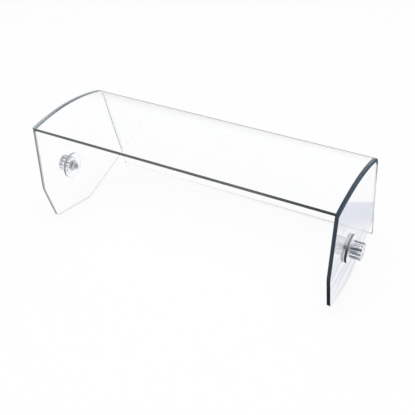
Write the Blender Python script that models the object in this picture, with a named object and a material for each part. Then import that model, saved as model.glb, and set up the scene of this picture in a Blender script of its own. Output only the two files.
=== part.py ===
"""Clear sneeze guard: a bent canopy sheet bonded on two shield-shaped end panels.

A captive fluted knob on the outside of each end panel clamps the guard to a support.
The guard stands as it rests on a table: on the heels of its end panels and on the
bottom edge of its rear wall. X runs along the guard, Y to its rear wall and Z up.
"""
import math

import bmesh
import bpy
from mathutils import Vector

# Overall sizes and sheet, in metres
LENGTH = 0.530
SHEET = 0.006
PANEL = 0.006

# Canopy profile, measured on the middle of the sheet
FRONT_HEIGHT = 0.2085
TOP_DEPTH = 0.1957
ARCH_RADIUS = 0.403
ARCH_START = math.radians(9.86)
BEND_RADIUS = 0.028
WALL_LEAN = math.radians(18.0)
WALL_CORNER_RADIUS = 0.005

# End panel outline
KNEE_DROP = 0.1185
CHIN_SET_BACK = 0.0225
CHIN_HEIGHT = 0.018
HEEL_SET_BACK = 0.1184
REAR_JOINT_HEIGHT = 0.039
KNEE_RADIUS = 0.030
CHIN_RADIUS = 0.009
HEEL_RADIUS = 0.030

# Knob axis, back from the front edge and up from the table
KNOB_SET_BACK = 0.086
KNOB_HEIGHT = 0.090

# Captive knob hardware
STUD_RADIUS = 0.003
STUD_TIP = 0.002
STUD_CHAMFER = 0.0006
GROOVE_DEPTH = 0.0007
RING_THICKNESS = 0.001
RING_BAND = 0.003
RING_GAP_HALF_ANGLE = math.radians(32)
BUSH_WALL = 0.002
FLANGE_REACH = 0.0025
FLANGE_THICKNESS = 0.0012
DISC_RADIUS = 0.0235
DISC_THICKNESS = 0.004
WASHER_RADIUS = 0.010
WASHER_THICKNESS = 0.0005
KNOB_RADIUS = 0.015
KNOB_LENGTH = 0.0175
KNOB_CHAMFER = 0.001
FLUTE_COUNT = 12
FLUTE_DEPTH = 0.0013
INSERT_WALL = 0.002
INSERT_LENGTH = 0.010
CAP_RADIUS = 0.009
CAP_THICKNESS = 0.003
CAP_CHAMFER = 0.0005
FLOAT_TRAVEL = 0.0025

# Clearances
GAP = 0.0003

# Fineness of round shapes
ARCH_STEPS = 14
BEND_STEPS = 10
CORNER_STEPS = 6
ROUND_STEPS = 48
FLUTE_STEPS = 6
SMOOTH_ANGLE = math.radians(30)

SIDES = {"left": -1, "right": 1}


def clear_scene():
    """Remove what the scene holds."""
    for thing in list(bpy.data.objects):
        bpy.data.objects.remove(thing, do_unlink=True)


def plain_material(name, colour, roughness, metallic, alpha=1.0):
    """A Principled material of one colour."""
    material = bpy.data.materials.new(name)
    material.use_nodes = True
    shader = material.node_tree.nodes["Principled BSDF"]
    shader.inputs["Base Color"].default_value = (*colour, 1.0)
    shader.inputs["Roughness"].default_value = roughness
    shader.inputs["Metallic"].default_value = metallic
    shader.inputs["Alpha"].default_value = alpha
    return material


def add_object(name, mesh_builder, material, parent, location=(0, 0, 0)):
    """Turn a bmesh into a named object with outward faces, smooth where it is round."""
    bmesh.ops.recalc_face_normals(mesh_builder, faces=mesh_builder.faces)
    if mesh_builder.calc_volume(signed=True) < 0:
        bmesh.ops.reverse_faces(mesh_builder, faces=mesh_builder.faces)
    mesh = bpy.data.meshes.new(name)
    mesh_builder.to_mesh(mesh)
    mesh_builder.free()
    mesh.shade_smooth()
    mesh.set_sharp_from_angle(angle=SMOOTH_ANGLE)
    mesh.materials.append(material)
    thing = bpy.data.objects.new(name, mesh)
    bpy.context.collection.objects.link(thing)
    thing.parent = parent
    thing.location = location
    return thing


def add_empty(name, location, parent=None):
    """A bare point that carries other pieces."""
    empty = bpy.data.objects.new(name, None)
    bpy.context.collection.objects.link(empty)
    empty.parent = parent
    empty.location = location
    return empty


def spread(first, last, steps):
    """Evenly spaced values from first to last."""
    return [first + (last - first) * step / steps for step in range(steps + 1)]


# Profile of the canopy, as points (y, z) with z up from the table


def outward(angle):
    """Unit direction turned from straight up towards the rear."""
    return Vector((math.sin(angle), math.cos(angle)))


class CanopyProfile:
    """Arch, rear bend and rear wall along the middle of the canopy sheet."""

    def __init__(self):
        self.front = Vector((0.0, FRONT_HEIGHT))
        self.arch_centre = self.front - ARCH_RADIUS * outward(-ARCH_START)
        corner_reach = TOP_DEPTH - self.arch_centre.x
        corner = Vector((TOP_DEPTH, self.arch_centre.y + math.sqrt(ARCH_RADIUS**2 - corner_reach**2)))
        self.wall_angle = math.pi / 2 - WALL_LEAN
        self.wall_down = Vector((math.sin(WALL_LEAN), -math.cos(WALL_LEAN)))
        inward_point = corner - BEND_RADIUS * outward(self.wall_angle)
        across = inward_point - self.arch_centre
        along = across.dot(self.wall_down)
        slide = -along - math.sqrt(along**2 - across.length_squared + (ARCH_RADIUS - BEND_RADIUS) ** 2)
        self.bend_centre = inward_point + slide * self.wall_down
        to_bend = self.bend_centre - self.arch_centre
        self.bend_angle = math.atan2(to_bend.x, to_bend.y)
        self.wall_top = self.bend_centre + BEND_RADIUS * outward(self.wall_angle)

    def curve(self, offset, first_angle):
        """Points along the arch and the bend, offset outwards from the middle of the sheet."""
        arch = spread(first_angle, self.bend_angle, ARCH_STEPS)
        bend = spread(self.bend_angle, self.wall_angle, BEND_STEPS)[1:]
        points = [self.arch_centre + (ARCH_RADIUS + offset) * outward(angle) for angle in arch]
        points += [self.bend_centre + (BEND_RADIUS + offset) * outward(angle) for angle in bend]
        return points

    def wall_point(self, height, offset):
        """Point of the rear wall at a height, offset outwards from the middle of the sheet."""
        top = self.wall_top + offset * outward(self.wall_angle)
        return top + self.wall_down * ((top.y - height) / math.cos(WALL_LEAN))


def rounded(before, corner, after, radius):
    """Points of an arc that rounds a corner of an outline."""
    back = (before - corner).normalized()
    ahead = (after - corner).normalized()
    half = back.angle(ahead) / 2
    reach = radius / math.tan(half)
    centre = corner + (back + ahead).normalized() * (radius / math.sin(half))
    start = corner + back * reach - centre
    sweep = start.angle_signed(corner + ahead * reach - centre)
    points = []
    for angle in spread(0.0, -sweep, CORNER_STEPS):
        turn = Vector((math.cos(angle), math.sin(angle)))
        points.append(centre + Vector((start.x * turn.x - start.y * turn.y, start.x * turn.y + start.y * turn.x)))
    return points


def panel_outline(profile):
    """Shield outline of an end panel, under the canopy sheet."""
    offset = -SHEET / 2 - GAP
    first_angle = math.asin((profile.front.x - profile.arch_centre.x) / (ARCH_RADIUS + offset))
    top = profile.curve(offset, first_angle)
    rear = profile.wall_point(REAR_JOINT_HEIGHT, offset)
    heel = Vector((HEEL_SET_BACK, 0.0))
    chin = Vector((CHIN_SET_BACK, CHIN_HEIGHT))
    knee = Vector((profile.front.x, FRONT_HEIGHT - KNEE_DROP))
    outline = top + [rear]
    outline += rounded(rear, heel, chin, HEEL_RADIUS)
    outline += rounded(heel, chin, knee, CHIN_RADIUS)
    outline += rounded(chin, knee, top[0], KNEE_RADIUS)
    return outline


# Sheet pieces


def canopy_sections(profile, table_height):
    """Cross-sections of the canopy from front to bottom: inner point, outer point and half length."""
    half_length = LENGTH / 2
    inner = profile.curve(-SHEET / 2, -ARCH_START)
    outer = profile.curve(SHEET / 2, -ARCH_START)
    sections = [(low, high, half_length) for low, high in zip(inner, outer)]
    bottom_height = table_height + SHEET / 2 * math.sin(WALL_LEAN)
    bottom = profile.wall_point(bottom_height, 0.0)
    across = outward(profile.wall_angle) * (SHEET / 2)
    for angle in spread(0.0, math.pi / 2, CORNER_STEPS):
        middle = bottom - profile.wall_down * (WALL_CORNER_RADIUS * (1 - math.sin(angle)))
        shortened = half_length - WALL_CORNER_RADIUS * (1 - math.cos(angle))
        sections.append((middle - across, middle + across, shortened))
    return sections


def canopy_mesh(sections):
    """One bent sheet, skinned over its cross-sections."""
    build = bmesh.new()
    rings = []
    for inner, outer, half in sections:
        corners = [(-half, inner), (half, inner), (half, outer), (-half, outer)]
        rings.append([build.verts.new((x, point.x, point.y)) for x, point in corners])
    skin_rings(build, rings)
    build.faces.new(rings[0])
    build.faces.new(rings[-1])
    return build


def skin_rings(build, rings, closed=False):
    """Four-sided faces between each ring of points and the next."""
    pairs = list(zip(rings, rings[1:]))
    if closed:
        pairs.append((rings[-1], rings[0]))
    for first, second in pairs:
        for place in range(len(first)):
            following = (place + 1) % len(first)
            build.faces.new((first[place], first[following], second[following], second[place]))


def extruded_mesh(outline, near, far):
    """Flat outline in (y, z), pulled along X from near to far."""
    build = bmesh.new()
    rings = [[build.verts.new((x, point.x, point.y)) for point in outline] for x in (near, far)]
    skin_rings(build, rings)
    build.faces.new(rings[0])
    build.faces.new(rings[1])
    return build


# Turned pieces, about the knob axis along X


def turned_mesh(side, stations, hollow, flutes=()):
    """Piece turned about X from stations (distance out from the panel, radius).

    A hollow piece's stations go all round its section. Stations listed in flutes are fluted.
    """
    build = bmesh.new()
    steps = FLUTE_COUNT * FLUTE_STEPS if flutes else ROUND_STEPS
    rings = []
    for number, (out, radius) in enumerate(stations):
        ring = []
        for step in range(steps):
            turn = 2 * math.pi * step / steps
            depth = FLUTE_DEPTH * (1 - math.cos(FLUTE_COUNT * turn)) / 2 if number in flutes else 0.0
            reach = radius - depth
            ring.append(build.verts.new((side * out, reach * math.cos(turn), reach * math.sin(turn))))
        rings.append(ring)
    skin_rings(build, rings, closed=hollow)
    if not hollow:
        build.faces.new(rings[0])
        build.faces.new(rings[-1])
    return build


def plain_ring(side, start, end, inner_radius, outer_radius):
    """Turned ring of square section."""
    stations = [(start, inner_radius), (start, outer_radius), (end, outer_radius), (end, inner_radius)]
    return turned_mesh(side, stations, hollow=True)


class KnobStack:
    """Places along the knob axis, as distances out from an end panel's outer face."""

    def __init__(self):
        self.bore = STUD_RADIUS + GAP
        self.disc_inner = GAP
        self.disc_outer = self.disc_inner + DISC_THICKNESS
        self.washer_inner = self.disc_outer + GAP
        self.washer_outer = self.washer_inner + WASHER_THICKNESS
        self.knob_base = self.washer_outer + GAP
        self.knob_end = self.knob_base + KNOB_LENGTH
        self.recess_floor = self.knob_end - CAP_THICKNESS
        self.insert_end = self.knob_base + INSERT_LENGTH
        self.insert_radius = self.bore + INSERT_WALL
        self.bush_radius = self.bore + BUSH_WALL
        self.panel_hole = self.bush_radius + GAP
        self.flange_outer = -PANEL - GAP
        self.flange_inner = self.flange_outer - FLANGE_THICKNESS
        self.ring_outer = self.flange_inner - GAP - FLOAT_TRAVEL
        self.ring_inner = self.ring_outer - RING_THICKNESS
        self.groove_radius = STUD_RADIUS - GROOVE_DEPTH
        self.stud_end = self.ring_inner - GAP - STUD_TIP


def bush_mesh(side, stack):
    """Flanged sleeve in the panel's hole, with its flange on the inside."""
    flange_radius = stack.bush_radius + FLANGE_REACH
    stations = [
        (stack.flange_inner, stack.bore),
        (stack.flange_inner, flange_radius),
        (stack.flange_outer, flange_radius),
        (stack.flange_outer, stack.bush_radius),
        (0.0, stack.bush_radius),
        (0.0, stack.bore),
    ]
    return turned_mesh(side, stations, hollow=True)


def stud_mesh(side, stack):
    """Plain stud with a groove for its retaining ring and chamfered ends."""
    slim = STUD_RADIUS - STUD_CHAMFER
    stations = [
        (stack.stud_end, slim),
        (stack.stud_end + STUD_CHAMFER, STUD_RADIUS),
        (stack.ring_inner - GAP, STUD_RADIUS),
        (stack.ring_inner - GAP, stack.groove_radius),
        (stack.ring_outer + GAP, stack.groove_radius),
        (stack.ring_outer + GAP, STUD_RADIUS),
        (stack.insert_end - STUD_CHAMFER, STUD_RADIUS),
        (stack.insert_end, slim),
    ]
    return turned_mesh(side, stations, hollow=False)


def ring_mesh(side, stack):
    """Open retaining ring that snaps into the stud's groove."""
    inner_radius = stack.groove_radius + GAP
    outer_radius = inner_radius + RING_BAND
    angles = spread(RING_GAP_HALF_ANGLE, 2 * math.pi - RING_GAP_HALF_ANGLE, ROUND_STEPS)
    outline = [Vector((outer_radius * math.cos(angle), outer_radius * math.sin(angle))) for angle in angles]
    outline += [Vector((inner_radius * math.cos(angle), inner_radius * math.sin(angle))) for angle in reversed(angles)]
    return extruded_mesh(outline, side * stack.ring_inner, side * stack.ring_outer)


def knob_mesh(side, stack):
    """Fluted knob with a bore for its insert and a recess for its cap."""
    slim = KNOB_RADIUS - KNOB_CHAMFER
    insert_bore = stack.insert_radius + GAP
    recess = CAP_RADIUS + GAP
    stations = [
        (stack.knob_base, slim),
        (stack.knob_base + KNOB_CHAMFER, KNOB_RADIUS),
        (stack.knob_end - KNOB_CHAMFER, KNOB_RADIUS),
        (stack.knob_end, slim),
        (stack.knob_end, recess),
        (stack.recess_floor - GAP, recess),
        (stack.recess_floor - GAP, insert_bore),
        (stack.knob_base, insert_bore),
    ]
    return turned_mesh(side, stations, hollow=True, flutes=(0, 1, 2, 3))


def cap_mesh(side, stack):
    """Round cap in the knob's outer end."""
    stations = [
        (stack.recess_floor, CAP_RADIUS),
        (stack.knob_end - CAP_CHAMFER, CAP_RADIUS),
        (stack.knob_end, CAP_RADIUS - CAP_CHAMFER),
    ]
    return turned_mesh(side, stations, hollow=False)


# Assembly


def hole_cutter(name, side, stack, parent, material):
    """Round cutter for the bush's hole through an end panel, longer than the panel is thick."""
    stations = [(-2 * PANEL, stack.panel_hole), (PANEL, stack.panel_hole)]
    cutter = add_object(name, turned_mesh(side, stations, hollow=False), material, parent)
    cutter.hide_render = True
    cutter.display_type = "WIRE"
    return cutter


def add_end_panel(name, side, outline, material, guard, cutter):
    """End panel flush with one end of the canopy, bored for its bush."""
    outer = side * LENGTH / 2
    panel = add_object(name, extruded_mesh(outline, outer - side * PANEL, outer), material, guard)
    bore = panel.modifiers.new("bush hole", "BOOLEAN")
    bore.operation = "DIFFERENCE"
    bore.object = cutter
    return panel


def add_knob_side(name, side, stack, axis, materials):
    """Disc, washer, bush and captive knob on one end panel."""
    clear = materials["clear"]
    steel = materials["steel"]
    nylon = materials["nylon"]
    disc = plain_ring(side, stack.disc_inner, stack.disc_outer, stack.bore, DISC_RADIUS)
    washer = plain_ring(side, stack.washer_inner, stack.washer_outer, stack.bore, WASHER_RADIUS)
    insert = plain_ring(side, stack.knob_base, stack.insert_end, stack.bore, stack.insert_radius)
    add_object(name + "_disc", disc, clear, axis)
    add_object(name + "_washer", washer, nylon, axis)
    add_object(name + "_bush", bush_mesh(side, stack), nylon, axis)
    add_object(name + "_knob", knob_mesh(side, stack), clear, axis)
    add_object(name + "_knob_cap", cap_mesh(side, stack), clear, axis)
    add_object(name + "_knob_insert", insert, steel, axis)
    add_object(name + "_stud", stud_mesh(side, stack), steel, axis)
    add_object(name + "_retaining_ring", ring_mesh(side, stack), steel, axis)


def main():
    """Build the guard, standing on the table with its footprint centred."""
    clear_scene()
    materials = {
        "clear": plain_material("clear_plastic", (0.86, 0.90, 0.96), 0.05, 0.0, alpha=0.3),
        "steel": plain_material("stainless_steel", (0.62, 0.63, 0.66), 0.25, 1.0),
        "nylon": plain_material("natural_nylon", (0.88, 0.88, 0.85), 0.4, 0.0),
    }
    profile = CanopyProfile()
    stack = KnobStack()
    outline = panel_outline(profile)
    table_height = min(point.y for point in outline)
    sections = canopy_sections(profile, table_height)
    edge = outline + [point for section in sections for point in section[:2]]
    front = min(point.x for point in edge)
    back = max(point.x for point in edge)
    guard = add_empty("guard", (0.0, -(front + back) / 2, -table_height))
    add_object("canopy", canopy_mesh(sections), materials["clear"], guard)
    for name, side in SIDES.items():
        knob_place = (side * LENGTH / 2, KNOB_SET_BACK, table_height + KNOB_HEIGHT)
        axis = add_empty(name + "_knob_axis", knob_place, guard)
        cutter = hole_cutter(name + "_hole_cutter", side, stack, axis, materials["clear"])
        add_end_panel(name + "_end_panel", side, outline, materials["clear"], guard, cutter)
        add_knob_side(name, side, stack, axis, materials)


main()
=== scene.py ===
"""Looks of a clear sneeze guard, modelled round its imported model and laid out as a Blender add-on."""
import enum
import math
from typing import NamedTuple

import bmesh
import bpy
from mathutils import Matrix, Vector


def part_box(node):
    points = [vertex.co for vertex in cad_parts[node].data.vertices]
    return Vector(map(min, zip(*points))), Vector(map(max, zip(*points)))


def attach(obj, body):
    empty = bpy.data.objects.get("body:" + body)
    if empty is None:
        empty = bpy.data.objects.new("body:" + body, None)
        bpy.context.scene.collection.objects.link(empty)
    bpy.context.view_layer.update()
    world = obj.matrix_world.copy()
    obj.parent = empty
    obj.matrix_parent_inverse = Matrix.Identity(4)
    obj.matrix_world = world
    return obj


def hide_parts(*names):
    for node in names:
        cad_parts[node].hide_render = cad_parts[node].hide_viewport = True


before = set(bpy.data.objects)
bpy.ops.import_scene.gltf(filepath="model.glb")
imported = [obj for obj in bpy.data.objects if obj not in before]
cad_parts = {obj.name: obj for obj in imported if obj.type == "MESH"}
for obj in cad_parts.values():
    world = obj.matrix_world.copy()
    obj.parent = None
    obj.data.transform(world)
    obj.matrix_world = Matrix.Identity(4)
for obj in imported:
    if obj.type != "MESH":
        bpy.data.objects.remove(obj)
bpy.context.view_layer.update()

bl_info = {
    "name": "Clear Sneeze Guard",
    "version": (1, 0, 0),
    "blender": (4, 5, 0),
    "location": "3D View > Sidebar > Sneeze Guard",
    "description": "Models and finishes a clear sneeze guard with captive knobs",
    "category": "Object",
}

# Sides, directions and turns

SIDES = ("left", "right")
ALONG_X = (1.0, 0.0, 0.0)
ACROSS_X = (0.0, 1.0, 1.0)
UPWARDS = (0.0, 0.0, 1.0)
DOWNWARDS = (0.0, 0.0, -1.0)
FORWARDS = (0.0, -1.0, 0.0)
LEFTWARDS = (-1.0, 0.0, 0.0)
MIRRORED_ALONG_X = (-1.0, 1.0, 1.0)
QUARTER_TURN = math.pi / 2
HALF_TURN = math.pi
FULL_TURN = 2 * math.pi

# Steps of round shapes

ARCH_STEPS = 40
BEND_STEPS = 16
CORNER_STEPS = 8
NOSE_STEPS = 6
ROUND_STEPS = 96
EDGE_STEPS = 2
RIM_STEPS = 3
FLUTE_STEPS = 12
FEWEST_FLUTES = 6
THREAD_STEPS = 24
THREAD_LEVELS = THREAD_STEPS // 2
RINGS_PER_TURN = 6

# Limits for joining, rounding and smoothing a mesh

START_SIZE = 0.01
MERGE_REACH = 0.000002
FLAT_ANGLE = math.radians(1)
CURVE_ANGLE = math.radians(12)
SHARP_ANGLE = math.radians(32)
ROUNDED_ANGLE = math.radians(50)
FACE_WEIGHT = 90

# Limits that tell faces apart, by a part of their normal or by their place

END_LEAN = 0.5
FACE_LEAN = 0.9
EDGE_LEAN = 0.96
NOSE_LEAN = 0.985
FLAT_LEAN = 0.99
EDGE_BREAK = 0.2
JOINT_RISE = 0.1
EDGE_REACH = 0.004
NOSE_HEIGHT = 0.0045
JOINT_TRIM = 0.0015

# Shares of a knob's radius, and of its flutes' depth

DISH_RIM = 0.18
OUTSIDE_SHARE = 0.8
# Span of a flute's depth over which the painted shade in its groove deepens
GROOVE_SPAN = (0.45, 0.75)

# Optics of the clear plastic

PLASTIC_IOR = 1.49
NO_TINT = (1.0, 1.0, 1.0)
CLEAR_SHADOW = (0.93, 0.94, 0.96)
EVEN_BLEND = 0.5
EDGE_GLOSS = 0.15
NO_GLOSS = 0.0
MIRROR_LOSS = 0.7
NO_LOSS = 0.0
ALL_SHOWN = 1.0
NONE_TO_ALL = (0.0, 1.0)
ALL_TO_NONE = (1.0, 0.0)

# Spans of facing, from square on to along the surface, over which a tint deepens

CANOPY_SPAN = (0.64, 0.94)
PANEL_SPAN = (0.60, 0.90)
MOULDING_SPAN = (0.12, 0.62)
BORE_SPAN = (0.30, 0.90)
FLAT_SPAN = (0.84, 1.0)
OUTLINE_SPAN = (0.66, 0.80)
OUTLINE_SHARE = 0.82

# Spans of distance along a direction, over which an edge takes another tone of painted light and shade

CORNER_SHADE_FADE = (0.10, 0.262)
JOINT_LIGHT_FADE = (0.03, 0.13)
INNER_LIGHT_FADE = (-0.2612, -0.2602)
CHIN_SHADE_FADE = (-0.11, -0.05)
WALL_LIGHT_FADE = (0.020, 0.075)
BEND_FADE = (0.13, 0.17)
FOOT_SHADE_FADE = (-0.022, -0.006)
NOSE_LIGHT_FADE = (-0.28, 0.22)
RIM_LIGHT_FADE = (0.098, 0.1135)

# Painted reflection on the end panels, as a band and streaks; and streaks that make the painted shade along
# the knobs' flutes uneven

REAR_SLOPE = (0.0, 0.62, 1.0)
BAND_TOP = (0.146, 0.154)
BAND_FOOT = (0.075, 0.120)
SHADE_OVER_BAND = 0.1
STREAK_SCALE = (1.0, 5.0, 55.0)
STREAK_SPAN = (0.40, 0.62)
STREAK_SHADE = (0.35, 0.90)
STREAK_DETAIL = 1.0
FLUTE_SCALE = (12.0, 150.0, 150.0)
FLUTE_SPAN = (0.42, 0.58)
FLUTE_SHADE = (0.35, 1.0)

# Drift of a finish

SLOW_DETAIL = 3.0
FINE_DETAIL = 2.0
PLAIN_SCALE = 1.0

# Stage

CAMERA_DIP = math.radians(35.533)
CAMERA_SWING = math.radians(27.427)
FLOOR_DROP = 0.0003
WHITE = (1.0, 1.0, 1.0)
FULL_STRENGTH = 1.0
DARK_RISE = (0.30, 0.62)
DARK_BACK = (0.25, -0.35)


class CanopyFace(enum.IntEnum):
    """Places of the canopy's materials."""

    CLEAR = 0
    FRONT = 1
    LEFT_END = 2
    RIGHT_END = 3
    WALL_END = 4
    LEFT_JOINT = 5
    RIGHT_JOINT = 6
    NOSE = 7
    BEND = 8


class PanelFace(enum.IntEnum):
    """Places of an end panel's materials."""

    CLEAR = 0
    FREE_EDGE = 1
    BONDED_EDGE = 2


class MouldingFace(enum.IntEnum):
    """Places of a moulding's materials."""

    FLAT = 0
    BORE = 1
    OUTSIDE = 2


class Surface(NamedTuple):
    """Roughness and relief of a finish, and how fast they drift over it."""

    smooth: float
    rough: float
    scale: float
    fine: float
    relief: float
    depth: float


POLISHED_SHEET = Surface(smooth=0.0, rough=0.02, scale=6.0, fine=240.0, relief=0.004, depth=0.0002)
SAWN_EDGE = Surface(smooth=0.12, rough=0.30, scale=22.0, fine=900.0, relief=0.08, depth=0.0002)
MOULDED = Surface(smooth=0.01, rough=0.05, scale=60.0, fine=700.0, relief=0.03, depth=0.0002)
MOTTLED = Surface(smooth=0.35, rough=0.55, scale=300.0, fine=1800.0, relief=0.15, depth=0.0002)
TURNED = Surface(smooth=0.18, rough=0.38, scale=180.0, fine=2200.0, relief=0.10, depth=0.0001)


class PaintedLightFade(NamedTuple):
    """Painted light and shade on an edge: a tone that it takes over a span of distance along a direction."""

    tone: Vector
    direction: tuple
    span: tuple


# Sizes, finishes and stage that a user would change


def length_property(name, description, default):
    """A length that a user may change."""
    return bpy.props.FloatProperty(name=name, description=description, default=default, unit="LENGTH")


def angle_property(name, description, degrees):
    """An angle that a user may change."""
    return bpy.props.FloatProperty(
        name=name, description=description, default=math.radians(degrees), unit="ROTATION"
    )


def place_property(name, description, default):
    """A place that a user may change."""
    return bpy.props.FloatVectorProperty(name=name, description=description, default=default, unit="LENGTH")


def colour_property(name, description, default):
    """A colour that a user may change."""
    return bpy.props.FloatVectorProperty(
        name=name, description=description, default=default, subtype="COLOR", size=3, min=0.0, max=1.0
    )


def share_property(name, description, default):
    """A share from none to all that a user may change."""
    return bpy.props.FloatProperty(
        name=name, description=description, default=default, subtype="FACTOR", min=0.0, max=1.0
    )


class GuardSizes(bpy.types.PropertyGroup):
    """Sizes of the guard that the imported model's boxes do not give."""

    sheet: length_property("Sheet", "Thickness of the canopy sheet", 0.006)
    top_depth: length_property("Top depth", "Front edge to the corner of arch and rear wall", 0.1957)
    arch_radius: length_property("Arch radius", "Radius of the arched top, mid sheet", 0.403)
    arch_start: angle_property("Arch start", "Slope of the arch at its front edge", 9.86)
    bend_radius: length_property("Bend radius", "Radius of the rear bend, mid sheet", 0.028)
    wall_lean: angle_property("Wall lean", "Lean of the rear wall from upright", 18.0)
    wall_nose: length_property("Wall nose", "Rounding of the rear wall's bottom edge", 0.0027)
    knee_drop: length_property("Knee drop", "Front edge down to the end panel's knee", 0.1185)
    chin_set_back: length_property("Chin set back", "Front edge back to the end panel's chin", 0.0225)
    chin_height: length_property("Chin height", "Chin above the heel", 0.018)
    heel_set_back: length_property("Heel set back", "Front edge back to the end panel's heel", 0.1184)
    front_height: length_property("Front height", "Front edge above the heel corner", 0.2085)
    joint_height: length_property("Rear joint height", "Foot of the rear joint above the heel", 0.039)
    knee_radius: length_property("Knee radius", "Rounding of the knee", 0.030)
    chin_radius: length_property("Chin radius", "Rounding of the chin", 0.009)
    heel_radius: length_property("Heel radius", "Rounding of the heel", 0.030)
    glue_gap: length_property("Glue gap", "Room for the bond between two sheets", 0.0003)
    sheet_edge: length_property("Sheet edge", "Width of the polished edge break", 0.0004)
    end_line: length_property("End line", "Width of the dark line round the canopy's ends", 0.0013)
    hole_radius: length_property("Bush hole", "Radius of the bush hole in an end panel", 0.0056)
    bore_radius: length_property("Stud bore", "Radius of the stud's bore", 0.0033)
    insert_bore: length_property("Insert bore", "Radius of the insert's bore in a knob", 0.0056)
    disc_edge: length_property("Disc edge", "Rounding of a disc's rim", 0.0006)
    knob_edge: length_property("Knob edge", "Rounding of a knob's ends", 0.0008)
    flute_depth: length_property("Flute depth", "Depth of the knob's flutes", 0.0013)
    flutes: bpy.props.IntProperty(
        name="Flutes", description="Number of flutes round a knob", default=12, min=FEWEST_FLUTES
    )
    cap_dish: length_property("Cap dish", "Depth of the dish in a knob's cap", 0.0004)
    small_edge: length_property("Small edge", "Rounding of small hardware", 0.0002)
    washer_edge: length_property("Washer edge", "Rounding of a thin washer", 0.0001)
    thread_pitch: length_property("Thread pitch", "Pitch of a stud's thread", 0.001)
    thread_depth: length_property("Thread depth", "Depth of a stud's thread", 0.0006)
    groove_depth: length_property("Groove depth", "Depth of the ring's groove in a stud", 0.0007)
    stud_chamfer: length_property("Stud chamfer", "Chamfer of a stud's ends", 0.0006)


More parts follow.
